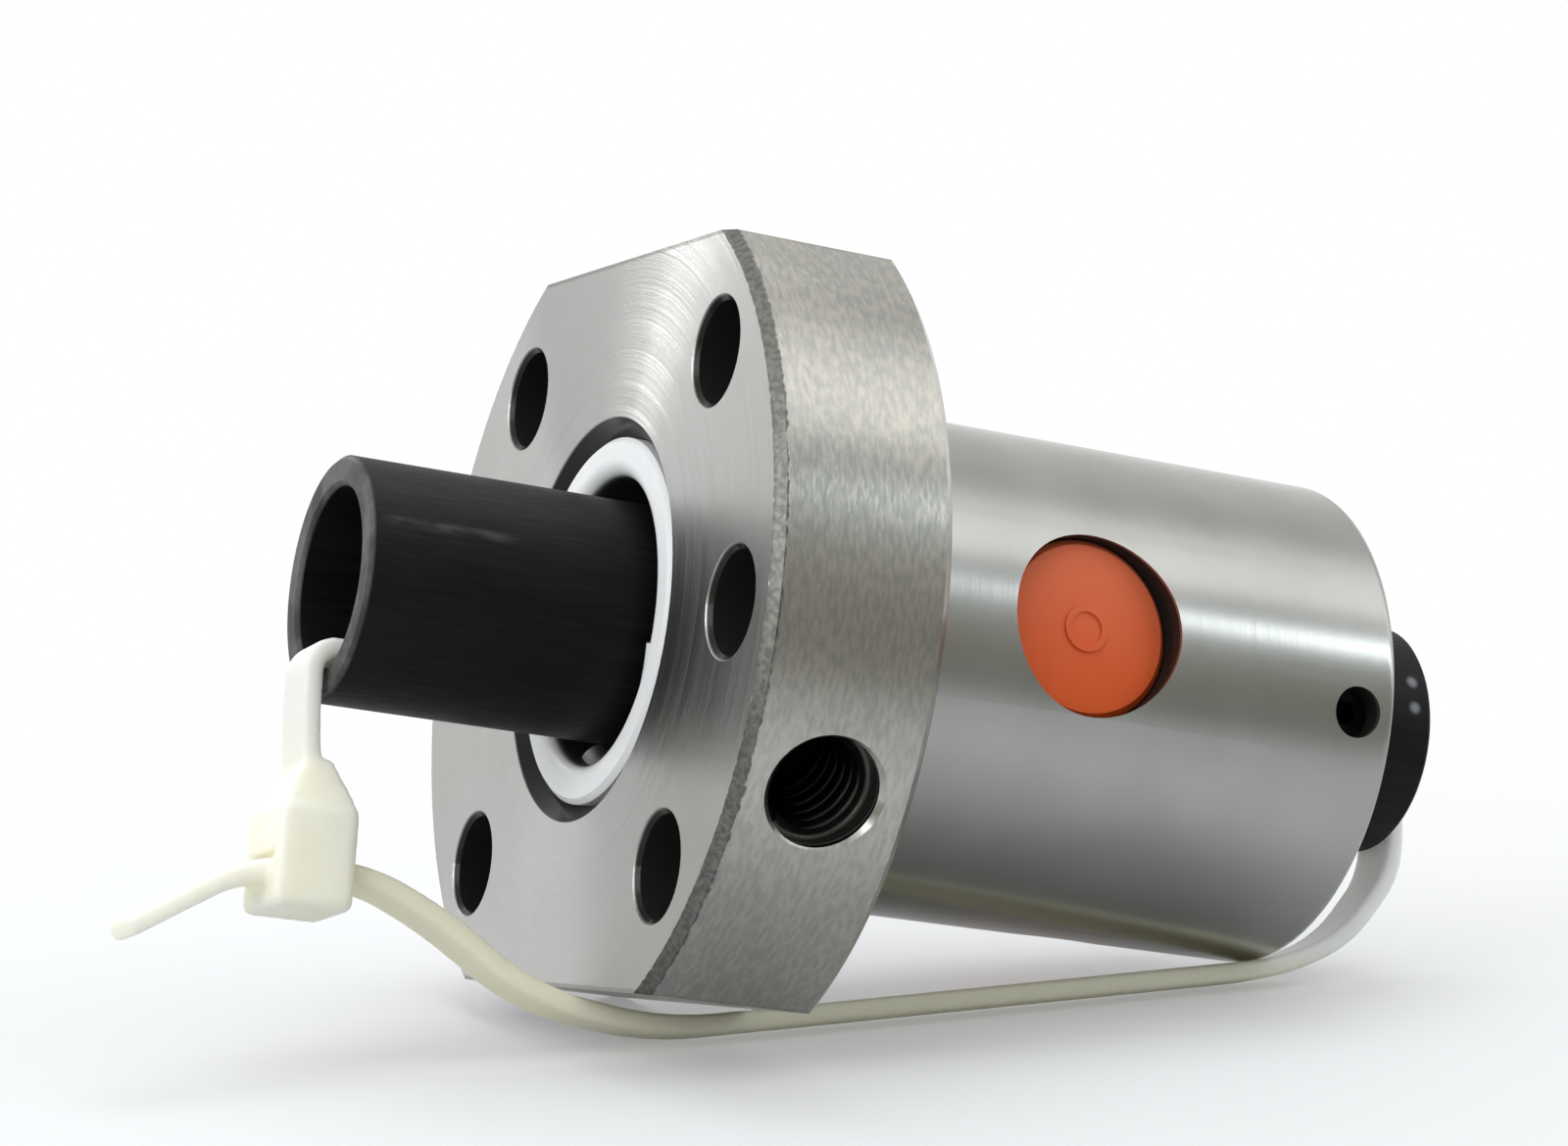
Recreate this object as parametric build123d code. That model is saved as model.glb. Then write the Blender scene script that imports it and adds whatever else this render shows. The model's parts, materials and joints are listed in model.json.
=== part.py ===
"""A ball screw nut as it comes off the shelf: flanged steel nut, three ball circuits, plastic return
caps and wipers, the plain tube that keeps the balls in, and the cable tie that keeps the tube in.

Millimetres. Everything is first built about the nut's own axis, which is X: x = 0 is the flange's
mounting face, the body runs to +X and the flange to -X, and the flats face up and down. At the end the
whole assembly is laid down as it rests on a table, on the tie and one corner of the flange.
Angles round the axis are in degrees from the -Y side, and grow upwards.
"""
import math
import os

from build123d import *

# Flange
flange_diameter = 48.0
flat_depth = 4.0
flange_thickness = 10.0
rim_chamfer = 0.5
bolt_edge_distance = 5.0
bolt_hole_diameter = 5.5
bolt_hole_chamfer = 0.3
bolt_angles = (45.0, 0.0, -45.0)
lube_port_diameter = 6.0
lube_port_depth = 9.0
lube_port_chamfer = 0.3
lube_port_angle = -22.5
lube_channel_diameter = 2.5

# Body
body_diameter = 28.0
body_length = 33.0
tail_round = 0.6
bore_edge_chamfer = 0.3

# Raceway: one thread of the lead, with the balls on their own circle
lead = 5.0
ball_diameter = 3.175
wall_over_ball_circle = 5.7
bore_over_ball_circle = 0.1
raceway_clearance = 0.06
ball_spacing = 0.08

# Return caps, one for each circuit
circuit_count = 3
cap_diameter = 10.1
cap_clearance = 0.05
cap_recess = 1.6
cap_edge_chamfer = 0.35
cap_angle = 11.0
middle_cap_from_tail = 19.0
crossover_half_angle = 30.0
crossover_lift = 1.4
channel_clearance = 0.12
channel_run_out = 14.0
channel_spans = 12
circuit_samples = 720
cap_mark_diameter = 2.6
cap_mark_width = 0.35
cap_mark_height = 0.12

# Wipers
wiper_wall = 2.2
wiper_lip = 0.5
wiper_thickness = 4.4
wiper_clearance = 0.07
wiper_edge_chamfer = 0.3
wiper_bore_round = 0.9
wiper_bead_clearance = 0.15
front_wiper_recess = 0.3
rear_wiper_recess = 0.3
relief_width = 1.0
relief_depth = 1.2

# Set screw that holds the rear wiper
set_screw_diameter = 2.8
set_screw_length = 2.4
set_screw_clearance = 0.03
set_screw_socket = 1.3
set_screw_socket_depth = 1.2

# Arbor tube
arbor_clearance = 0.0625
arbor_wall = 1.65
arbor_front_reach = 15.0
arbor_rear_reach = 7.2
arbor_edge_chamfer = 0.25

# Cable tie
strap_width = 3.6
strap_thickness = 1.1
strap_edge_round = 0.3
strap_lean = 7.5
strap_clearance = 0.06
lip_clearance = 0.3
lip_bend = 1.2
head_length = 4.4
head_width = 5.6
head_height = 5.6
head_from_flange = 15.2
head_below_axis = 15.2
head_edge_fillet = 0.5
slot_clearance = 0.15
slot_below_head_centre = 0.5
tail_reach = 9.3
tail_drop = 4.2
strap_neck_growth = 0.5
strap_neck_chamfer = 0.45
strap_neck_height = 1.6
bend_share = 0.45

full_turn = 360.0
half_turn = 180.0
cut_margin = 1.0

axial = Plane(origin=(0, 0, 0), x_dir=(0, 1, 0), z_dir=(1, 0, 0))
flange_across_flats = flange_diameter - 2 * flat_depth
bolt_circle = flange_diameter - 2 * bolt_edge_distance
ball_circle = body_diameter - 2 * wall_over_ball_circle
bore_diameter = ball_circle + 2 * bore_over_ball_circle
arbor_diameter = ball_circle - ball_diameter - 2 * arbor_clearance
wiper_bore = bore_diameter - 2 * wiper_lip
wiper_diameter = wiper_bore + 2 * wiper_wall
tail_x = body_length
middle_cap_from_face = body_length - middle_cap_from_tail
front_face_x = -flange_thickness
ball_radius = ball_diameter / 2
ball_circle_radius = ball_circle / 2
raceway_radius = ball_radius + raceway_clearance
circuit_pitch = lead * (1 + 1 / circuit_count)
pocket_diameter = wiper_diameter + 2 * wiper_clearance
relief_diameter = pocket_diameter + 2 * relief_width
front_pocket_x = front_face_x + front_wiper_recess + wiper_thickness + wiper_clearance
rear_pocket_x = tail_x - rear_wiper_recess - wiper_thickness - wiper_clearance
cap_face_radius = body_diameter / 2 - cap_recess
set_screw_x = tail_x - rear_wiper_recess - wiper_thickness / 2


def outward(angle):
    """Unit vector away from the axis, at an angle round it."""
    turn = math.radians(angle)
    return Vector(0, -math.cos(turn), math.sin(turn))


def radial_plane(x, angle, radius):
    """Plane at a distance from the axis, facing outwards, with its own x along the nut."""
    return Plane(origin=Vector(x, 0, 0) + outward(angle) * radius, x_dir=(1, 0, 0), z_dir=outward(angle))


def radial_rod(x, angle, diameter, inner, outer):
    """Round rod along a radius of the nut, from one distance from the axis to another."""
    rod = Cylinder(diameter / 2, outer - inner, align=(Align.CENTER, Align.CENTER, Align.MIN))
    return radial_plane(x, angle, inner) * rod


def axial_rod(diameter, start, end):
    """Round rod on the nut's axis, from one x to another."""
    rod = Cylinder(diameter / 2, end - start, align=(Align.CENTER, Align.CENTER, Align.MIN))
    return axial * Pos(0, 0, start) * rod


def turned(outline):
    """Solid turned about the nut's axis from (x, radius) points."""
    return revolve(Plane.XZ * make_face(Polyline(*outline, close=True)), Axis.X, full_turn)


def axis_angle(angle):
    """The same direction as outward(angle), as a right-handed turn about +X from +Y."""
    return half_turn - angle


def thread_angle(x):
    """Right-handed turn at which the raceway's middle line passes x."""
    return axis_angle(cap_angle) + (x - middle_cap_from_face + lead / 2) * full_turn / lead


def helical_rod(start, end, radius, section_radius):
    """Round rod that follows the raceway from one x to another."""
    path = Helix(pitch=lead, height=end - start, radius=radius)
    rod = sweep(Plane(origin=path @ 0, z_dir=path % 0) * Circle(section_radius), path, is_frenet=True)
    return axial * Location((0, 0, start), (0, 0, thread_angle(start))) * rod


def cap_place(index):
    """Distance from the flange and angle of one return cap. Each sits a third of a turn from the last."""
    step = index - (circuit_count - 1) / 2
    return middle_cap_from_face + step * circuit_pitch, cap_angle - step * full_turn / circuit_count


def circuit_point(index, turn):
    """Ball centre on a circuit. turn runs from -half to +half a turn, with the return cap at 0."""
    cap_x, angle = cap_place(index)
    if abs(turn) < crossover_half_angle:
        share = math.pi / 2 * turn / crossover_half_angle
        radius = ball_circle_radius + crossover_lift * math.cos(share) ** 2
        side = lead / 2 - lead * crossover_half_angle / full_turn
        x = cap_x - side * math.sin(share)
    else:
        radius = ball_circle_radius
        x = cap_x + lead * turn / full_turn - math.copysign(lead / 2, turn)
    around = math.radians(axis_angle(angle) + turn)
    return Vector(x, radius * math.cos(around), radius * math.sin(around))


def make_nut_body():
    """Flange and body in one, with the raceway, wiper pockets and every hole cut in it."""
    body_radius = body_diameter / 2
    outline = [
        (front_face_x, 0),
        (front_face_x, flange_diameter / 2 - rim_chamfer),
        (front_face_x + rim_chamfer, flange_diameter / 2),
        (-rim_chamfer, flange_diameter / 2),
        (0, flange_diameter / 2 - rim_chamfer),
        (0, body_radius),
        (tail_x, body_radius),
        (tail_x, 0),
    ]
    nut = turned(outline)
    tail_edge = nut.edges().filter_by(GeomType.CIRCLE).group_by(Axis.X)[-1]
    nut = fillet(tail_edge, tail_round)
    nut &= Box(2 * flange_thickness + 2 * body_length, flange_diameter, flange_across_flats)

    nut -= axial_rod(bore_diameter, front_face_x - cut_margin, tail_x + cut_margin)
    nut -= axial_rod(pocket_diameter, front_face_x - cut_margin, front_pocket_x)
    nut -= axial_rod(pocket_diameter, rear_pocket_x, tail_x + cut_margin)
    relief = Cone(relief_diameter / 2, pocket_diameter / 2, relief_depth,
                  align=(Align.CENTER, Align.CENTER, Align.MIN))
    nut -= axial * Pos(0, 0, front_face_x) * relief
    rear_mouth = [edge for edge in nut.edges().filter_by(GeomType.CIRCLE).group_by(Axis.X)[-1]
                  if edge.radius < body_diameter / 2 - tail_round]
    nut = chamfer(rear_mouth, bore_edge_chamfer)

    for side in (0, half_turn):
        for angle in bolt_angles:
            centre = outward(angle + side) * (bolt_circle / 2)
            hole = axial_rod(bolt_hole_diameter, front_face_x - cut_margin, cut_margin)
            for face_x, inwards in ((front_face_x, 1), (0, -1)):
                mouth = Cone(bolt_hole_diameter / 2 + 2 * bolt_hole_chamfer, bolt_hole_diameter / 2,
                             2 * bolt_hole_chamfer)
                facing = Plane(origin=(face_x, 0, 0), x_dir=(0, 1, 0), z_dir=(inwards, 0, 0))
                hole += facing * mouth
            nut -= Pos(centre.X, centre.Y, centre.Z) * hole

    port_x = front_face_x / 2
    rim_radius = flange_diameter / 2
    port_floor = rim_radius - lube_port_depth
    nut -= radial_rod(port_x, lube_port_angle, lube_port_diameter, port_floor, rim_radius + cut_margin)
    nut -= radial_rod(port_x, lube_port_angle, lube_channel_diameter, 0, port_floor + cut_margin)
    port_mouth = Cone(lube_port_diameter / 2, lube_port_diameter / 2 + 2 * lube_port_chamfer,
                      2 * lube_port_chamfer)
    nut -= radial_plane(port_x, lube_port_angle, rim_radius) * port_mouth

    for index in range(circuit_count):
        cap_x, angle = cap_place(index)
        nut -= radial_rod(cap_x, angle, cap_diameter + 2 * cap_clearance, 0, body_radius + cut_margin)
    screw_hole = set_screw_diameter + 2 * set_screw_clearance
    nut -= radial_rod(set_screw_x, 0, screw_hole, 0, body_radius + cut_margin)

    nut -= helical_rod(front_pocket_x - lead / 2, rear_pocket_x + lead / 2,
                       ball_circle_radius, raceway_radius)
    return nut


def make_return_cap(index):
    """Moulded plug that lifts the balls over the thread's crest and back by one lead."""
    cap_x, angle = cap_place(index)
    cap = radial_rod(cap_x, angle, cap_diameter, 0, cap_face_radius)
    face_edge = cap.edges().filter_by(GeomType.CIRCLE).sort_by(lambda edge: edge.center().dot(outward(angle)))[-1]
    cap = chamfer(face_edge, cap_edge_chamfer)
    cap -= axial_rod(bore_diameter, 0, tail_x)
    reach = crossover_half_angle + channel_run_out
    turns = [reach * (2 * span / channel_spans - 1) for span in range(channel_spans + 1)]
    path = Spline(*[circuit_point(index, turn) for turn in turns])
    channel = Circle(ball_radius + channel_clearance)
    cap -= sweep(Plane(origin=path @ 0, z_dir=path % 0) * channel, path)
    cap = max(cap.solids(), key=lambda solid: solid.volume)
    ring = Circle(cap_mark_diameter / 2) - Circle(cap_mark_diameter / 2 - cap_mark_width)
    return cap + extrude(radial_plane(cap_x, angle, cap_face_radius) * ring, cap_mark_height)


def make_ball_circuit(index):
    """The balls of one circuit, evenly spaced along the raceway and over the crossover."""
    turns = [full_turn * step / circuit_samples - half_turn for step in range(circuit_samples)]
    points = [circuit_point(index, turn) for turn in turns]
    points.append(points[0])
    travelled = [0.0]
    for here, there in zip(points, points[1:]):
        travelled.append(travelled[-1] + (there - here).length)
    ball_count = int(travelled[-1] / (ball_diameter + ball_spacing))
    balls = []
    for ball in range(ball_count):
        target = travelled[-1] * ball / ball_count
        place = next(point for point, length in zip(points, travelled) if length >= target)
        balls.append(Pos(place.X, place.Y, place.Z) * Sphere(ball_radius))
    return Compound(balls)


def make_wiper(start):
    """Nylon ring with a short thread inside that sweeps the screw's groove."""
    ring = axial_rod(wiper_diameter, start, start + wiper_thickness)
    ring = chamfer(ring.edges().filter_by(GeomType.CIRCLE), wiper_edge_chamfer)
    ring -= axial_rod(wiper_bore, start - cut_margin, start + wiper_thickness + cut_margin)
    bore_edges = ring.edges().filter_by(GeomType.CIRCLE).group_by(lambda edge: round(edge.radius, 3))[0]
    ring = fillet(bore_edges, wiper_bore_round)
    bead_radius = ball_circle_radius - arbor_diameter / 2 - wiper_bead_clearance
    bead = helical_rod(start + bead_radius, start + wiper_thickness - bead_radius,
                       ball_circle_radius, bead_radius)
    return ring + bead


def make_set_screw():
    """Headless screw with a hexagon socket, below the body's surface."""
    tip = wiper_diameter / 2 + wiper_clearance
    screw = radial_rod(set_screw_x, 0, set_screw_diameter, tip, tip + set_screw_length)
    socket = RegularPolygon(set_screw_socket / 2, 6, major_radius=False)
    top = radial_plane(set_screw_x, 0, tip + set_screw_length)
    return screw - extrude(top * socket, -set_screw_socket_depth)


def make_arbor_tube():
    """Plain plastic tube of the screw's root diameter, cut to length."""
    start = front_face_x - arbor_front_reach
    end = tail_x + arbor_rear_reach
    tube = axial_rod(arbor_diameter, start, end)
    tube -= axial_rod(arbor_diameter - 2 * arbor_wall, start - cut_margin, end + cut_margin)
    return chamfer(tube.edges().filter_by(GeomType.CIRCLE), arbor_edge_chamfer)


def resting_line():
    """Where the tie's long run is pinched: the flange's rear lower edge and the tail's lower edge.

    All of the tie is laid out in an upright plane and then leans about the nut's axis, so the flat
    under the flange meets the strap at its near edge.
    """
    lean = math.radians(strap_lean)
    flange_depth = (flange_across_flats / 2 + strap_width / 2 * math.sin(lean)) / math.cos(lean)
    flange_edge = Vector(0, 0, -flange_depth)
    tail_edge = Vector(tail_x - tail_round, 0, -body_diameter / 2)
    along = (tail_edge - flange_edge).normalized()
    return flange_edge, tail_edge, along, Vector(along.Z, 0, -along.X)


def strap_route():
    """The strap's middle line with a bend radius for each corner, from the head's top round to the tail."""
    flange_edge, tail_edge, along, down = resting_line()
    under = strap_thickness / 2 + strap_clearance
    bore_z = -math.sqrt((arbor_diameter / 2 - arbor_wall) ** 2 - (strap_width / 2) ** 2) + under + strap_clearance
    front_lip = front_face_x - arbor_front_reach
    rear_lip = tail_x + arbor_rear_reach
    stand_off = strap_thickness / 2 + lip_clearance
    head_x = front_face_x - head_from_flange
    head_top = -head_below_axis + head_height / 2
    slot_z = -head_below_axis - slot_below_head_centre
    run_front = flange_edge + down * under - along * (flange_thickness / 2)
    run_rear = tail_edge + down * under + along * (2 * tail_round)
    points = [
        Vector(head_x, 0, head_top - head_edge_fillet),
        Vector(front_lip - stand_off, 0, bore_z - lip_bend - arbor_wall - strap_thickness),
        Vector(front_lip - stand_off, 0, bore_z),
        Vector(rear_lip + stand_off + strap_clearance, 0, bore_z),
        Vector(rear_lip + stand_off + strap_clearance, 0, bore_z - lip_bend - arbor_wall - strap_thickness),
        Vector(tail_x + arbor_rear_reach - 2 * strap_thickness, 0, -body_diameter / 2 + strap_width / 2),
        run_rear,
        run_front,
        Vector(front_face_x - 2 * strap_thickness, 0, flange_edge.Z - strap_thickness / 2),
        Vector(front_face_x - head_from_flange / 2, 0, slot_z - strap_width / 2),
        Vector(head_x + head_length / 2 + strap_width / 3, 0, slot_z),
        Vector(head_x - head_length / 2 - strap_thickness / 2, 0, slot_z - slot_clearance / 2),
        Vector(head_x - tail_reach, 0, slot_z - tail_drop),
    ]
    bends = []
    for before, corner, after in zip(points, points[1:], points[2:]):
        entry, leave = corner - before, after - corner
        turn = math.radians(entry.get_angle(leave))
        largest = bend_share * min(entry.length, leave.length) / math.tan(turn / 2)
        at_lip = abs(corner.Z - bore_z) < strap_clearance
        bends.append(lip_bend if at_lip else largest)
    return points, bends


def make_cable_tie():
    """Nylon tie pulled through the tube and round the nut: head, strap and cut tail in one moulding."""
    points, bends = strap_route()
    path = FilletPolyline(*points, radius=bends)
    section = RectangleRounded(strap_width, strap_thickness, strap_edge_round)
    section = Plane(origin=path @ 0, x_dir=(0, 1, 0), z_dir=path % 0) * section
    strap = sweep(section, path)
    head_x = front_face_x - head_from_flange
    head = Pos(head_x, 0, -head_below_axis) * Box(head_length, head_width, head_height)
    head = fillet(head.edges(), head_edge_fillet)
    neck = Box(strap_thickness + 2 * strap_neck_growth, strap_width + strap_neck_growth, 2 * strap_neck_height)
    neck = chamfer(neck.edges().group_by(Axis.Z)[-1], strap_neck_chamfer)
    head += Pos(head_x, 0, head_height / 2 - head_below_axis) * neck
    slot = Box(head_length + cut_margin, strap_width + 2 * slot_clearance, strap_thickness + 2 * slot_clearance)
    head -= Pos(head_x, 0, -head_below_axis - slot_below_head_centre) * slot
    return Rot(-strap_lean, 0, 0) * (head + strap), path.length


def table_plane():
    """The table's surface: it touches the strap twice, at its far edge, and the flange's far corner."""
    flange_edge, tail_edge, along, down = resting_line()
    below = down * (strap_thickness + 2 * strap_clearance) + Vector(0, strap_width / 2 - strap_edge_round, 0)
    first, second = [(edge + below).rotate(Axis.X, -strap_lean) for edge in (flange_edge, tail_edge)]
    corner_y = math.sqrt((flange_diameter / 2) ** 2 - (flange_across_flats / 2) ** 2)
    corner = Vector(-rim_chamfer, corner_y, -flange_across_flats / 2)
    upright = (second - first).cross(corner - first).normalized()
    forward = Vector(1, 0, 0) - upright * upright.X
    return Plane(origin=(0, 0, 0), x_dir=forward, z_dir=upright)


os.makedirs("parts", exist_ok=True)
table = table_plane()
tie, strap_length = make_cable_tie()
nodes = {
    "nut_body": make_nut_body(),
    "front_wiper": make_wiper(front_face_x + front_wiper_recess),
    "rear_wiper": make_wiper(tail_x - rear_wiper_recess - wiper_thickness),
    "wiper_set_screw": make_set_screw(),
    "arbor_tube": make_arbor_tube(),
    "cable_tie": tie,
}
for index in range(circuit_count):
    nodes[f"return_cap_{index + 1}"] = make_return_cap(index)
    nodes[f"ball_circuit_{index + 1}"] = make_ball_circuit(index)
for name, shape in nodes.items():
    export_step(table.to_local_coords(shape), f"parts/{name}.step")
print("strap length", round(strap_length, 1), "table normal", table.z_dir, "forward", table.x_dir)
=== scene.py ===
"""Looks of a ball screw nut that lies on a pale table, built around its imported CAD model.

Metres, in the row frame. The nut's own frame has X along its axis towards the tail, -Y towards the side
that faces the camera, and Z up across the flats.
"""
import json
import math

import bmesh
import bpy
from mathutils import Matrix, Vector


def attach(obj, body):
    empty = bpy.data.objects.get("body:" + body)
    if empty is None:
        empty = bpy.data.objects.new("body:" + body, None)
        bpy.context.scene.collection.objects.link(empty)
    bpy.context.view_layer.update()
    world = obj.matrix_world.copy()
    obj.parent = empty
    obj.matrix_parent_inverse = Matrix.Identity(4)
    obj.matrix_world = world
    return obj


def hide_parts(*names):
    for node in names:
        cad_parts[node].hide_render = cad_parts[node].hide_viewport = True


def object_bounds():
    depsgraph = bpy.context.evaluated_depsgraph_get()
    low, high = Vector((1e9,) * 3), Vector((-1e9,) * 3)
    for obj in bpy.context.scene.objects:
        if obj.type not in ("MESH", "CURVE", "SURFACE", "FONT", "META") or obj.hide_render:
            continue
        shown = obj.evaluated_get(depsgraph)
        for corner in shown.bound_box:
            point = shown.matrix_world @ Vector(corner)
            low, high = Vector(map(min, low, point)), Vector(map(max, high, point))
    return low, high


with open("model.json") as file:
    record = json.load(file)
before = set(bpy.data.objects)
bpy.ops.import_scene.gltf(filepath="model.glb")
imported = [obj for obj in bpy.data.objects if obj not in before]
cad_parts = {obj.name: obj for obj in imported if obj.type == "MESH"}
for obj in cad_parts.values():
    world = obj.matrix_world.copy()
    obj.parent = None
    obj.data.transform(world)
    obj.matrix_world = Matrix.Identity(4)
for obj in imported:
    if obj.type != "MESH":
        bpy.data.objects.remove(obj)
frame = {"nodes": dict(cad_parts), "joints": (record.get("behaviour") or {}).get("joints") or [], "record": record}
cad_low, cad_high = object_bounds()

nodes = frame["nodes"]
mounts = {mount["name"]: mount for mount in frame["record"]["mounts"]}
nut_axis = Vector(frame["joints"][0]["axis"]).normalized()
port_angle = math.radians(22.5)
port_axis = Vector(mounts["lube_port"]["axis"]).normalized()
nut_side = math.sin(port_angle) * nut_axis.cross(port_axis) - math.cos(port_angle) * port_axis
nut_side.normalize()
nut_up = nut_axis.cross(nut_side)

flange_front = -0.010
flange_radius = 0.024
half_flats = 0.020
body_radius = 0.014
tail_end = 0.033
tail_round = 0.0006
relief_radius = 0.01115
rim_chamfer = 0.0005
skin = 0.00012  # how far a surface's own finish reaches into the steel


class Field:
    """A value that varies over a surface. Arithmetic on it adds Math nodes to its material's tree."""

    def __init__(self, tree, socket=None):
        self.tree = tree
        self.socket = socket

    def node(self, kind, inputs=None, output=None, stops=None, **settings):
        """Any other node: its settings come first, then the value or link of each socket."""
        made = self.tree.nodes.new(kind)
        for name, value in settings.items():
            setattr(made, name, value)
        if stops:
            ramp = made.color_ramp
            while len(ramp.elements) < len(stops):
                ramp.elements.new(1.0)
            for element, (place, colour) in zip(ramp.elements, stops):
                element.position = place
                element.color = (*colour, 1.0)
        for key, value in (inputs or {}).items():
            if isinstance(value, Field):
                self.tree.links.new(value.socket, made.inputs[key])
            else:
                made.inputs[key].default_value = value
        found = made.outputs[output] if output else next((o for o in made.outputs if o.enabled), None)
        return Field(self.tree, found)

    def maths(self, operation, *values):
        return self.node("ShaderNodeMath", dict(enumerate(values)), operation=operation)

    def __add__(self, other): return self.maths("ADD", self, other)
    def __radd__(self, other): return self.maths("ADD", other, self)
    def __sub__(self, other): return self.maths("SUBTRACT", self, other)
    def __rsub__(self, other): return self.maths("SUBTRACT", other, self)
    def __mul__(self, other): return self.maths("MULTIPLY", self, other)
    def __rmul__(self, other): return self.maths("MULTIPLY", other, self)
    def __truediv__(self, other): return self.maths("DIVIDE", self, other)
    def __pow__(self, other): return self.maths("POWER", self, other)
    def __abs__(self): return self.maths("ABSOLUTE", self)

    def between(self, low, high):
        """0 below low, 1 above high, and smooth in between. low may be the larger of the two."""
        return self.node("ShaderNodeMapRange", {0: self, 1: low, 2: high}, interpolation_type="SMOOTHSTEP")

    def within(self, start, full, still_full, end):
        """1 from full to still_full, and smooth down to 0 at start and at end."""
        return self.between(start, full) * self.between(end, still_full)

    def blend(self, below, above):
        """A colour that goes from below to above as this field goes from 0 to 1."""
        return self.node("ShaderNodeMix", {0: self, 6: below, 7: above}, data_type="RGBA")

    def most(self, *others):
        """The largest of this field and the others."""
        largest = self
        for other in others:
            largest = self.maths("MAXIMUM", largest, other)
        return largest

    def dot(self, direction):
        return self.node("ShaderNodeVectorMath", {0: self, 1: direction}, output="Value",
                         operation="DOT_PRODUCT")

    def stretched(self, *scales):
        """The same place, scaled along each axis: what is scaled little becomes long streaks."""
        return self.node("ShaderNodeVectorMath", {0: self, 1: scales}, operation="MULTIPLY")

    def noise(self, scale, detail=2.0):
        return self.node("ShaderNodeTexNoise", {"Vector": self, "Scale": scale, "Detail": detail})

    def line_noise(self, scale, detail=2.0):
        """Noise of one number, such as the rings that a turning tool leaves."""
        return self.node("ShaderNodeTexNoise", {"W": self, "Scale": scale, "Detail": detail},
                         noise_dimensions="1D")


def new_finish(name):
    """An empty material, and the place on the surface in the nut's own frame."""
    material = bpy.data.materials.new(name)
    material.use_nodes = True
    tree = material.node_tree
    tree.nodes.clear()
    place = Field(tree).node("ShaderNodeTexCoord", output="Object")
    own = place.node("ShaderNodeCombineXYZ", {0: place.dot(nut_axis), 1: place.dot(nut_side),
                                              2: place.dot(nut_up)})
    return material, own


def finish_with(own, bump=None, height=0.0, **surface):
    """Closes a material with one Principled shader. Values name its sockets, with _ for each space."""
    values = {key.replace("_", " "): value for key, value in surface.items()}
    if bump is not None:
        values["Normal"] = own.node("ShaderNodeBump", {"Strength": 1.0, "Distance": height, "Height": bump})
    shader = own.node("ShaderNodeBsdfPrincipled", values)
    own.node("ShaderNodeOutputMaterial", {"Surface": shader})


def dress(piece, material):
    """Puts one material on a piece."""
    slots = piece.data.materials
    slots.clear()
    slots.append(material)


def split(vector):
    """The three parts of a vector, as fields."""
    return [vector.node("ShaderNodeSeparateXYZ", {0: vector}, output=part) for part in "XYZ"]


pale_steel = (0.49, 0.49, 0.475, 1.0)
warm_steel = (0.55, 0.53, 0.48, 1.0)
grey_steel = (0.41, 0.415, 0.395, 1.0)
face_steel = (0.53, 0.53, 0.52, 1.0)
painted_highlight_face = (0.66, 0.66, 0.645, 1.0)
painted_shade_face = (0.41, 0.41, 0.40, 1.0)
edge_steel = (0.13, 0.13, 0.12, 1.0)
worn_edge = (0.22, 0.22, 0.205, 1.0)
painted_shade_inside = (0.018, 0.018, 0.017, 1.0)

# Sectors of the turned face, in degrees upwards from the side that faces the camera, that are painted: a
# painted highlight between, and painted shade above and below. Each has four bearings: where it starts,
# where it is full, where it is still full, and where it ends.
painted_shade_above = (72.0, 100.0, 122.0, 138.0)
painted_shade_below = (-86.0, -60.0, -32.0, -20.0)
painted_highlight_sector = (52.0, 64.0, 70.0, 78.0)

# The ragged chamfer, and the thin dark line that the flats' front edges have instead.
chamfer_end = flange_front + 1.35 * rim_chamfer
chamfer_full = flange_front + 1.1 * rim_chamfer
chamfer_start_radius = flange_radius - 1.1 * rim_chamfer
line_start = half_flats - 0.00026
line_full = half_flats - 0.00016

steel, own = new_finish("ground_steel")
along, side, up = split(own)
radius = (side * side + up * up) ** 0.5
on_front = along.between(flange_front + skin, flange_front)
on_front = on_front * radius.between(relief_radius - skin, relief_radius)
on_flat = abs(up).between(half_flats - skin, half_flats)
on_rim = radius.between(flange_radius - 5 * skin, flange_radius - 4 * skin) * along.between(0.0, -skin)
on_rim = on_rim * (1.0 - on_flat)
on_body = along.between(0.0, skin) * radius.between(body_radius - 2 * skin, body_radius - skin)
on_back = along.between(-skin, 0.0) * radius.between(body_radius - skin, body_radius)
on_tail = along.between(tail_end - tail_round - skin, tail_end - tail_round)
outside = on_front.most(on_rim, on_flat, on_body, on_back, on_tail)

clouds = own.noise(150.0, 3.0)
rings = radius.line_noise(34000.0, 1.0)
strokes = own.stretched(3.0, 1.0, 1.0).noise(1300.0, 3.0)
grind = own.stretched(9.0, 1.0, 1.0).noise(260.0, 3.0)
bites = own.noise(4000.0, 3.0)
nibbled = (own.noise(2200.0, 4.0) - 0.5) * rim_chamfer
edge = (along + nibbled).between(chamfer_end, chamfer_full)
edge = edge * (radius + nibbled * 0.5).between(chamfer_start_radius, flange_radius - rim_chamfer)
edge_line = on_front * abs(up + nibbled * 0.3).between(line_start, line_full)

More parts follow.
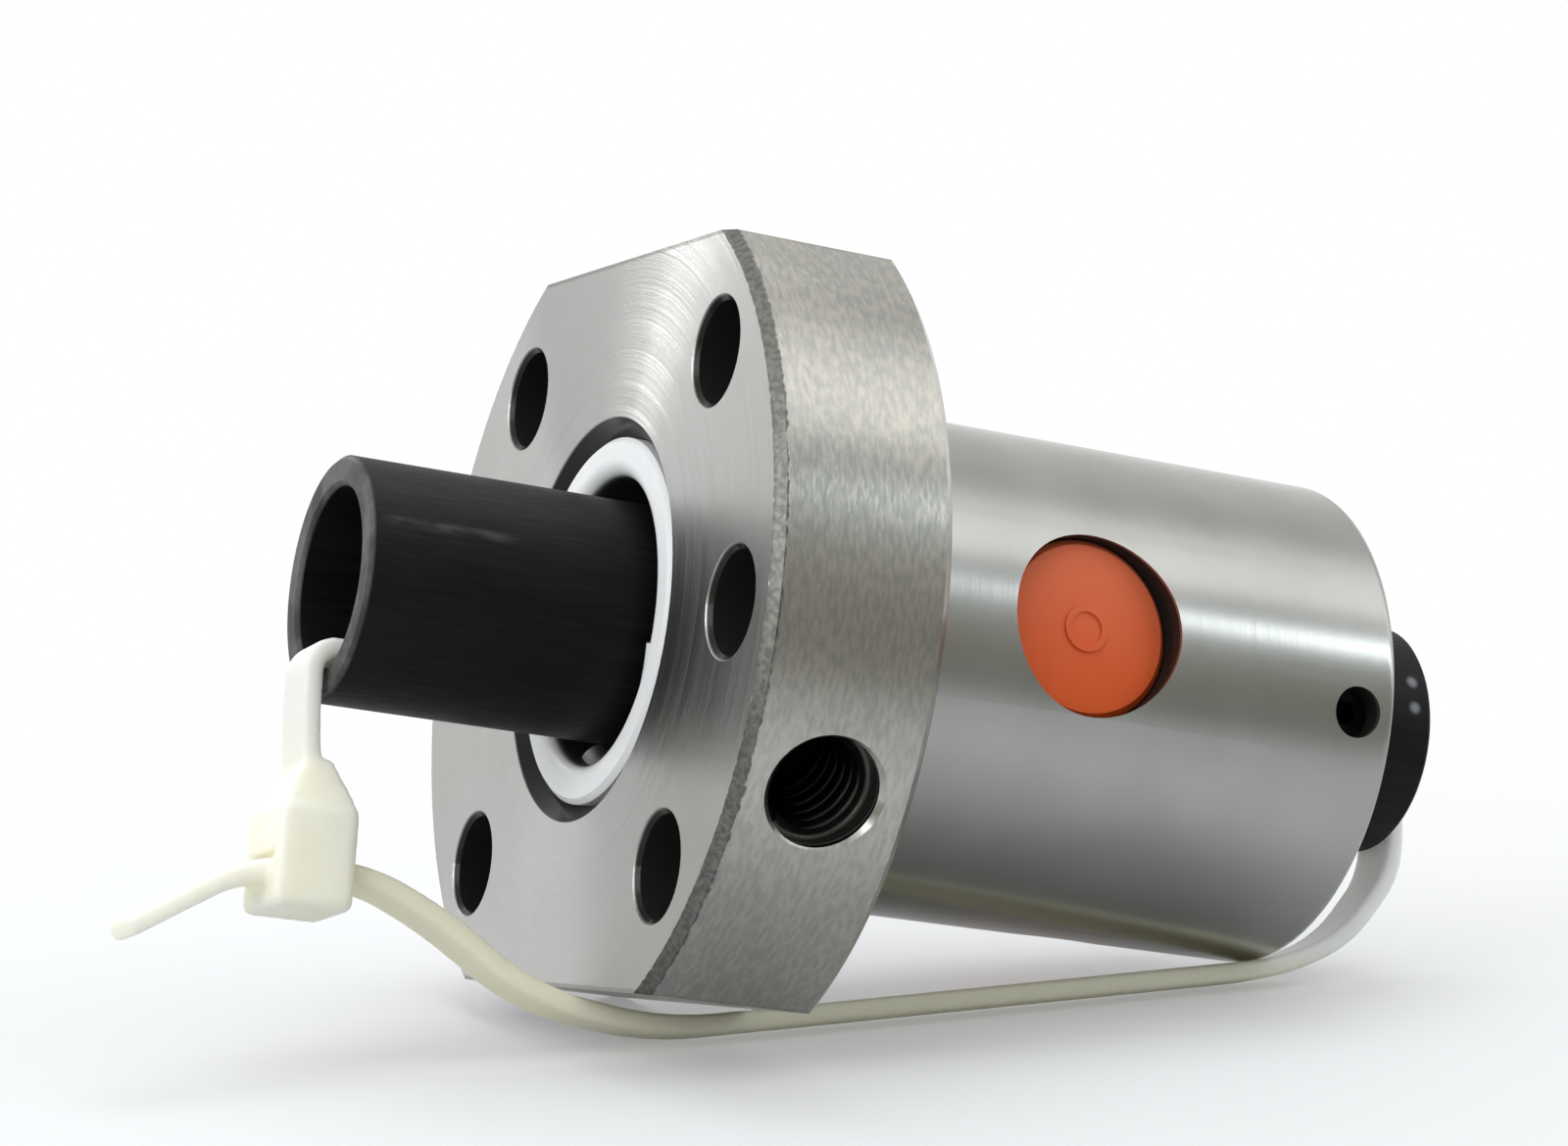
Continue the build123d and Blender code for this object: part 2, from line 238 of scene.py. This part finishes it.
bearing = up.maths("ARCTAN2", up, 0.0 - side) * (180.0 / math.pi)
turned_and_painted = clouds.between(0.2, 0.8).blend(pale_steel, face_steel)
# The face is painted darker in two sectors and lighter in one: painted shade and a painted highlight.
turned_and_painted = (bearing.within(*painted_shade_above) + bearing.within(*painted_shade_below)).blend(turned_and_painted, painted_shade_face)
turned_and_painted = (bearing.within(*painted_highlight_sector) * 0.7).blend(turned_and_painted, painted_highlight_face)
brushed = (strokes * 0.8 + clouds * 0.2).between(0.32, 0.68).blend(grey_steel, warm_steel)
ragged = own.noise(3400.0, 3.0).between(0.3, 0.7).blend(edge_steel, worn_edge)
colour = clouds.between(0.1, 0.9).blend(grey_steel, pale_steel)
colour = on_rim.blend(on_front.blend(colour, turned_and_painted), brushed)
colour = (edge_line * 0.7).blend(colour, worn_edge)
# Inside the bore, the pocket and the holes the steel is painted near-black: painted shade.
colour = outside.blend(painted_shade_inside, edge.blend(colour, ragged))
lay = (on_front * rings * 0.21 + on_rim * strokes * 0.13 + on_body * grind * 0.09
       + on_flat * strokes * 0.05 + edge * bites * 0.25)
rough = 0.19 + on_body * 0.02 + on_rim * 0.02 + on_front * 0.09 + edge * 0.25 + clouds * 0.03
finish_with(own, lay, height=0.00005, Base_Color=colour, Metallic=outside, Roughness=rough,
            Specular_IOR_Level=0.2)
dress(nodes["nut_body"], steel)

# ---- Wipers ---------------------------------------------------------------------------------------
# White nylon rings, turned from bar, with a short thread inside that sweeps the screw's groove. The
# front one is pressed into the flange's pocket; the rear one is held by the set screw.
wiper_bore_radius = 0.0079
shade_end = wiper_bore_radius + 0.00002
unshaded_from = wiper_bore_radius + 0.0002
cool_white = (0.90, 0.93, 0.96, 1.0)
bright_white = (0.94, 0.96, 0.97, 1.0)
bore_shade = (0.045, 0.05, 0.055, 1.0)
nylon, own = new_finish("wiper_nylon")
along, side, up = split(own)
radius = (side * side + up * up) ** 0.5
# The bore and the thread inside it are painted dark, up to a little above the bore's radius: painted shade.
white = own.noise(300.0).between(0.2, 0.8).blend(cool_white, bright_white)
finish_with(own, radius.line_noise(2600.0), height=0.00001, Roughness=0.42,
            Base_Color=radius.between(shade_end, unshaded_from).blend(bore_shade, white),
            Subsurface_Weight=0.06, Subsurface_Scale=0.001)
for wiper in ("front_wiper", "rear_wiper"):
    dress(nodes[wiper], nylon)

# ---- Return caps ----------------------------------------------------------------------------------
# Orange plugs, moulded in acetal and pushed into round holes in the body. Each one lifts the balls
# over the thread and back by one lead.
# The caps are painted lighter towards the top: painted light from above, and painted shade below.
shaded_orange = (0.72, 0.095, 0.010, 1.0)
lit_orange = (0.84, 0.175, 0.075, 1.0)
shaded_below, lit_above = -0.001, 0.008
acetal, own = new_finish("orange_acetal")
grain = own.noise(900.0, 3.0)
along, side, up = split(own)
colour = (up + own.noise(300.0) * 0.002).between(shaded_below, lit_above).blend(shaded_orange, lit_orange)
finish_with(own, grain, height=0.00002, Base_Color=colour, Roughness=0.46 + grain * 0.1,
            Specular_IOR_Level=0.3, Subsurface_Weight=0.05, Subsurface_Scale=0.001)
for cap in ("return_cap_1", "return_cap_2", "return_cap_3"):
    dress(nodes[cap], acetal)

# ---- Balls and set screw --------------------------------------------------------------------------
# Three circuits of lapped bearing balls, and the black-oxide screw that locks the rear wiper.
ball_grey = (0.70, 0.70, 0.71, 1.0)
ball_bright = (0.78, 0.78, 0.79, 1.0)
oxide_black = (0.010, 0.010, 0.010, 1.0)
oxide_grey = (0.03, 0.03, 0.03, 1.0)
lapped, own = new_finish("ball_steel")
finish_with(own, Base_Color=own.noise(500.0).blend(ball_grey, ball_bright), Metallic=1.0, Roughness=0.08)
for circuit in ("ball_circuit_1", "ball_circuit_2", "ball_circuit_3"):
    dress(nodes[circuit], lapped)
oxide, own = new_finish("black_oxide")
worn = own.noise(1200.0, 3.0)
finish_with(own, worn, height=0.00001, Metallic=1.0, Roughness=0.4 + worn * 0.15,
            Base_Color=worn.between(0.4, 0.8).blend(oxide_black, oxide_grey))
dress(nodes["wiper_set_screw"], oxide)

# ---- Arbor tube -----------------------------------------------------------------------------------
# A plain length of extruded black tube that takes the screw's place and keeps the balls in. It was
# sawn off, so its front end is greyer. A lighter streak along it and two pale spots at its far end are
# painted highlights.
tube_front = -0.025
tube_radius = 0.00665
sawn_from = tube_front + 0.0003
sawn_full = tube_front + 0.0001
highlight_bearing = math.radians(26.0)
highlight_half_width = math.radians(4.5)
highlight_core = math.radians(1.5)
highlight_run = (-0.0246, -0.0238, -0.0185, -0.0165)
glint_bearings = (math.radians(28.0), math.radians(14.0))
glint_x = 0.0390
glint_size = 0.0005
black = (0.0025, 0.0025, 0.003, 1.0)
soft_black = (0.006, 0.006, 0.007, 1.0)
painted_highlight_black = (0.050, 0.050, 0.051, 1.0)
painted_glint_grey = (0.22, 0.23, 0.26, 1.0)
sawn_dark = (0.045, 0.045, 0.046, 1.0)
sawn_light = (0.12, 0.12, 0.122, 1.0)

tube, own = new_finish("black_tube")
along, side, up = split(own)
die_lines = own.stretched(1.0, 12.0, 12.0).noise(240.0, 3.0)
scuffs = own.stretched(1.0, 5.0, 5.0).noise(700.0, 4.0)
# A lighter streak along the tube at one bearing: a painted highlight.
painted_streak = (up * math.sin(highlight_bearing) - side * math.cos(highlight_bearing)).between(
    tube_radius * math.cos(highlight_half_width), tube_radius * math.cos(highlight_core))
painted_streak = painted_streak * along.within(*highlight_run)
painted_streak = painted_streak * own.stretched(0.5, 1.0, 1.0).noise(800.0).between(0.30, 0.62)
skin_colour = painted_streak.blend(die_lines.between(0.35, 0.75).blend(black, soft_black), painted_highlight_black)
# Two small pale spots at the tube's far end: painted highlights.
for angle in glint_bearings:
    glint = Vector((glint_x, -math.cos(angle) * tube_radius, math.sin(angle) * tube_radius))
    distance = own.node("ShaderNodeVectorMath", {0: own, 1: glint}, output="Value", operation="DISTANCE")
    skin_colour = distance.between(glint_size, 0.2 * glint_size).blend(skin_colour, painted_glint_grey)
cut_colour = own.noise(500.0).between(0.3, 0.7).blend(sawn_dark, sawn_light)
finish_with(own, die_lines + scuffs * 0.4, height=0.00003, Roughness=0.42 + scuffs * 0.2,
            Base_Color=along.between(sawn_from, sawn_full).blend(skin_colour, cut_colour),
            Specular_IOR_Level=0.2)
dress(nodes["arbor_tube"], tube)

# ---- Lubrication port -----------------------------------------------------------------------------
# A blind hole in the rim, tapped M6 x 1 for a grease nipple. The thread is one ridge that follows a
# helix inside the plain hole of the CAD model.
port_radius = mounts["lube_port"]["dims"]["r_mm"] / 1000
port_length = mounts["lube_port"]["dims"]["length_mm"] / 1000
thread_pitch = 0.001
thread_depth = 0.00054
thread_bottom_gap = 0.0012
thread_top_gap = 0.0009
thread_length = port_length - thread_bottom_gap - thread_top_gap
thread_sizes = {"Pitch": thread_pitch, "Root radius": port_radius, "Depth": thread_depth,
                "Turns": thread_length / thread_pitch}


def step(tree, kind, values, **settings):
    """One node of a Geometry Nodes tree, with its sockets' values or links."""
    made = tree.nodes.new(kind)
    for name, value in settings.items():
        setattr(made, name, value)
    for key, value in values.items():
        if isinstance(value, bpy.types.NodeSocket):
            tree.links.new(value, made.inputs[key])
        else:
            made.inputs[key].default_value = value
    return made.outputs[0]


def placed(name, data):
    """A new object in the scene, with this mesh, lamp or camera."""
    piece = bpy.data.objects.new(name, data)
    bpy.context.scene.collection.objects.link(piece)
    return piece


def plain_mesh(carrier):
    """The mesh that a carrier's modifiers give. The carrier itself goes."""
    evaluated = carrier.evaluated_get(bpy.context.evaluated_depsgraph_get())
    mesh = bpy.data.meshes.new_from_object(evaluated)
    bpy.data.objects.remove(carrier)
    return mesh


# The thread's steel is nearly black: painted shade inside the hole.
dark_thread = (0.05, 0.049, 0.046, 1.0)
light_thread = (0.11, 0.108, 0.10, 1.0)
tapped, own = new_finish("tapped_steel")
burr = own.noise(1500.0, 3.0)
finish_with(own, burr, height=0.00001, Base_Color=burr.blend(dark_thread, light_thread), Metallic=1.0,
            Roughness=0.35 + burr * 0.1)

tree = bpy.data.node_groups.new("tapped_thread", "GeometryNodeTree")
tree.interface.new_socket("Geometry", in_out="OUTPUT", socket_type="NodeSocketGeometry")
for title in thread_sizes:
    tree.interface.new_socket(title, in_out="INPUT", socket_type="NodeSocketFloat")
given = tree.nodes.new("NodeGroupInput").outputs
result = tree.nodes.new("NodeGroupOutput").inputs
length = step(tree, "ShaderNodeMath", {0: given["Pitch"], 1: given["Turns"]}, operation="MULTIPLY")
helix = step(tree, "GeometryNodeCurveSpiral", {
    "Resolution": 48, "Rotations": given["Turns"], "Start Radius": given["Root radius"],
    "End Radius": given["Root radius"], "Height": length, "Reverse": False})
helix = step(tree, "GeometryNodeSetCurveNormal", {0: helix}, mode="Z_UP")
ridge = step(tree, "GeometryNodeCurvePrimitiveCircle", {"Resolution": 3, "Radius": given["Depth"]})
body = step(tree, "GeometryNodeCurveToMesh", {"Curve": helix, "Profile Curve": ridge, "Fill Caps": True})
body = step(tree, "GeometryNodeRealizeInstances", {0: body})
body = step(tree, "GeometryNodeSetMaterial", {"Geometry": body, "Material": tapped})
tree.links.new(body, result[0])

port_mouth = Vector(mounts["lube_port"]["pos_m"]) + port_axis * (port_length / 2)
port_turn = Vector((0, 0, 1)).rotation_difference(port_axis).to_matrix().to_4x4()
thread_bottom = port_mouth - port_axis * (thread_length + thread_top_gap)
carrier = placed("thread_carrier", bpy.data.meshes.new("thread_carrier"))
shape = carrier.modifiers.new("Shape", "NODES")
shape.node_group = tree
for socket in tree.interface.items_tree:
    if socket.in_out == "INPUT":
        shape[socket.identifier] = thread_sizes[socket.name]
thread = placed("port_thread", plain_mesh(carrier))
thread.data.transform(Matrix.Translation(thread_bottom) @ port_turn)
dress(thread, tapped)
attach(thread, "nut")

# ---- Cable tie ------------------------------------------------------------------------------------
# Natural nylon, moulded in one piece and slightly translucent. It goes through the tube and back
# under the nut. This is the CAD tie with shoulders at the head, and its edges rounded as a mould does.
tie_lean = math.radians(7.5)
tie_up = nut_up * math.cos(tie_lean) + nut_side * math.sin(tie_lean)
tie_side = nut_side * math.cos(tie_lean) - nut_up * math.sin(tie_lean)
head_x = -0.0252
# Height, half length and half width of each level of the shoulders, from the lowest up.
shoulders = ((-0.0136, 0.0021, 0.0027), (-0.0122, 0.0019, 0.0025), (-0.0100, 0.0007, 0.0018))
corners = ((-1, -1), (1, -1), (1, 1), (-1, 1))
grain_size = 0.00016
rounding_passes = 9

moulding = bmesh.new()
moulding.from_mesh(nodes["cable_tie"].data)
loops = []
for height, half_x, half_y in shoulders:
    loops.append([moulding.verts.new(nut_axis * (head_x + sign_x * half_x) + tie_side * (sign_y * half_y)
                                     + tie_up * height) for sign_x, sign_y in corners])
moulding.faces.new(reversed(loops[0]))
moulding.faces.new(loops[-1])
for lower, upper in zip(loops, loops[1:]):
    for corner in range(4):
        after = (corner + 1) % 4
        moulding.faces.new((lower[corner], lower[after], upper[after], upper[corner]))
carrier = placed("tie_carrier", bpy.data.meshes.new("tie_carrier"))
moulding.to_mesh(carrier.data)
moulding.free()
fused = carrier.modifiers.new("Fused", "REMESH")
fused.mode = "VOXEL"
fused.voxel_size = grain_size
fused.use_smooth_shade = True
rounded = carrier.modifiers.new("Rounded", "SMOOTH")
rounded.factor = 0.5
rounded.iterations = rounding_passes
tie = placed("moulded_tie", plain_mesh(carrier))

amber_nylon = (0.92, 0.90, 0.74, 1.0)
pale_nylon = (0.955, 0.94, 0.82, 1.0)
painted_shade_grey_nylon = (0.86, 0.87, 0.82, 1.0)
painted_glow_nylon = (0.97, 0.97, 0.96, 1.0)
painted_shade_tan_nylon = (0.84, 0.81, 0.63, 1.0)
natural, own = new_finish("tie_nylon")
along, side, up = split(own)
# Greyer and cooler above the head, where the strap runs up into the tube: painted shade.
shaded_above_head = up.between(-0.0120, -0.0060)
# Whiter round the bend at the tail: painted light, for the glow through the nylon.
painted_glow_bend = along.between(0.0240, 0.0330)
# Darker and more amber low down from the head's corner on, along the strap under the nut: painted shade.
under_nut_shade = up.between(-0.0120, -0.0150) * along.between(-0.0235, -0.0225)
colour = own.noise(260.0, 3.0).between(0.3, 0.7).blend(amber_nylon, pale_nylon)
colour = painted_glow_bend.blend(shaded_above_head.blend(colour, painted_shade_grey_nylon), painted_glow_nylon)
colour = under_nut_shade.blend(colour, painted_shade_tan_nylon)
finish_with(own, own.noise(700.0, 3.0), height=0.00008, Base_Color=colour, Roughness=0.40,
            Subsurface_Weight=0.7, Subsurface_Radius=(1.0, 0.95, 0.80), Subsurface_Scale=0.0020)
dress(tie, natural)
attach(tie, "nut")
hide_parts("cable_tie")

# ---- Table, light and camera ----------------------------------------------------------------------
# A white table that fades into a white background, three soft lamps, and a room that is bright
# overhead and behind and dim in front, with one narrow bright strip, which is what the steel shows.
table_reach = 0.9
fade_start = 0.030
fade_end = 0.17
least_clear = 0.26
shade_reach = 0.050
shade_full = 0.030
table_white = (0.70, 0.72, 0.75, 1.0)
shaded_white = (0.52, 0.54, 0.56, 1.0)
disc = bmesh.new()
bmesh.ops.create_circle(disc, cap_ends=True, radius=table_reach, segments=96)
bmesh.ops.translate(disc, verts=disc.verts, vec=(0, 0, cad_low.z))
table = placed("table", bpy.data.meshes.new("table"))
disc.to_mesh(table.data)
disc.free()

# In reflections the table is a little darker under the nut than it looks to the camera.
paper, own = new_finish("white_table")
away = own.node("ShaderNodeVectorMath", {0: own}, output="Value", operation="LENGTH")
shade = away.between(shade_reach, shade_full) * own.node("ShaderNodeLightPath", output="Is Glossy Ray")
surface = own.node("ShaderNodeBsdfPrincipled", {
    "Base Color": shade.blend(table_white, shaded_white), "Roughness": 0.6})
clearness = away.between(fade_start, fade_end) * (1.0 - least_clear) + least_clear
own.node("ShaderNodeOutputMaterial", {"Surface": own.node("ShaderNodeMixShader", {
    0: clearness, 1: surface, 2: own.node("ShaderNodeBsdfTransparent")})})
dress(table, paper)

# Brightness of the room round the nut, from the side of the camera (0) over the top (0.5) to the
# backdrop (1), and from there back under the table's edge (to -1 and up to 0).
room_level = 0.8
ramp_top = 3.0
neutral, olive, bluish = (1.0, 1.0, 0.985), (1.0, 0.98, 0.88), (0.94, 1.0, 1.02)
room = ((-1.0, 1.00, neutral), (-0.85, 0.80, neutral), (-0.70, 0.20, olive), (-0.40, 0.20, olive),
        (-0.28, 0.45, neutral), (-0.08, 0.50, neutral), (-0.02, 0.36, olive), (0.05, 0.39, olive),
        (0.11, 0.50, olive), (0.15, 0.60, neutral), (0.185, 0.68, bluish), (0.245, 0.72, bluish),
        (0.283, 0.70, neutral), (0.312, 1.45, neutral), (0.345, 1.90, neutral), (0.43, 1.70, neutral),
        (0.49, 1.40, neutral), (0.54, 0.95, neutral), (0.59, 0.80, neutral), (0.65, 0.85, neutral),
        (0.80, 1.00, neutral), (1.0, 1.15, neutral))
strip_level = 5.6
strip_turn = (0.190, 0.203, 0.227, 0.240)
strip_across = (0.545, 0.635)
backdrop_turn = (0.86, 0.98)

world = bpy.data.worlds.new("studio")
bpy.context.scene.world = world
world.use_nodes = True
world.node_tree.nodes.clear()
sky = Field(world.node_tree)
across, forward, upward = split(sky.node("ShaderNodeTexCoord", output="Generated"))
turn = sky.maths("ARCTAN2", upward, 0.0 - forward) / math.pi
stops = [((place + 1) / 2, [part * value * room_level / ramp_top for part in tint])
         for place, value, tint in room]
level = sky.node("ShaderNodeValToRGB", {0: turn * 0.5 + 0.5}, stops=stops)
strip = turn.within(*strip_turn) * across.between(*strip_across)
glow = sky.node("ShaderNodeBackground", {"Color": (*bluish, 1.0), "Strength": strip * strip_level})
walls = sky.node("ShaderNodeBackground", {"Color": level, "Strength": ramp_top})
light = sky.node("ShaderNodeAddShader", {0: glow, 1: walls})
white = sky.node("ShaderNodeBackground", {"Color": (1, 1, 1, 1), "Strength": 1.0})
backdrop = sky.node("ShaderNodeLightPath", output="Is Camera Ray")
for kind in ("Is Glossy Ray", "Is Transmission Ray"):
    backdrop = backdrop + sky.node("ShaderNodeLightPath", output=kind) * turn.between(*backdrop_turn)
seen = sky.node("ShaderNodeMixShader", {0: backdrop, 1: light, 2: white})
sky.node("ShaderNodeOutputWorld", {"Surface": seen})

# Each lamp's size, power, and direction from the nut in the nut's own frame.
lamp_distance = 0.5
for name, size, power, place in (("back_lamp", 0.11, 0.30, (-0.424, 0.770, 0.475)),
                                 ("front_fill", 0.30, 0.8, (-0.84, -0.44, 0.30)),
                                 ("top_lamp", 0.30, 0.8, (-0.05, 0.10, 0.99))):
    lamp_data = bpy.data.lights.new(name, "AREA")
    lamp_data.size = size
    lamp_data.energy = power
    lamp = placed(name, lamp_data)
    lamp.location = (nut_axis * place[0] + nut_side * place[1] + nut_up * place[2]) * lamp_distance
    lamp.rotation_euler = (-lamp.location).to_track_quat("-Z", "Y").to_euler()

view_from = Vector((-0.092935, -0.217065, 0.021398))
view_along = Vector((0.39899, 0.91399, -0.07367)).normalized()
view_up = Vector((0.04077, 0.06258, 0.99721))
view_side = view_along.cross(view_up).normalized()
view_up = view_side.cross(view_along)
camera_data = bpy.data.cameras.new("camera")
camera_data.lens = 98.33
camera_data.sensor_width = 36.0
camera_data.clip_start = 0.005
camera = placed("camera", camera_data)
camera_turn = Matrix((view_side, view_up, -view_along)).transposed().to_4x4()
camera.matrix_world = Matrix.Translation(view_from) @ camera_turn
bpy.context.scene.camera = camera
bpy.context.scene.view_settings.view_transform = "Standard"
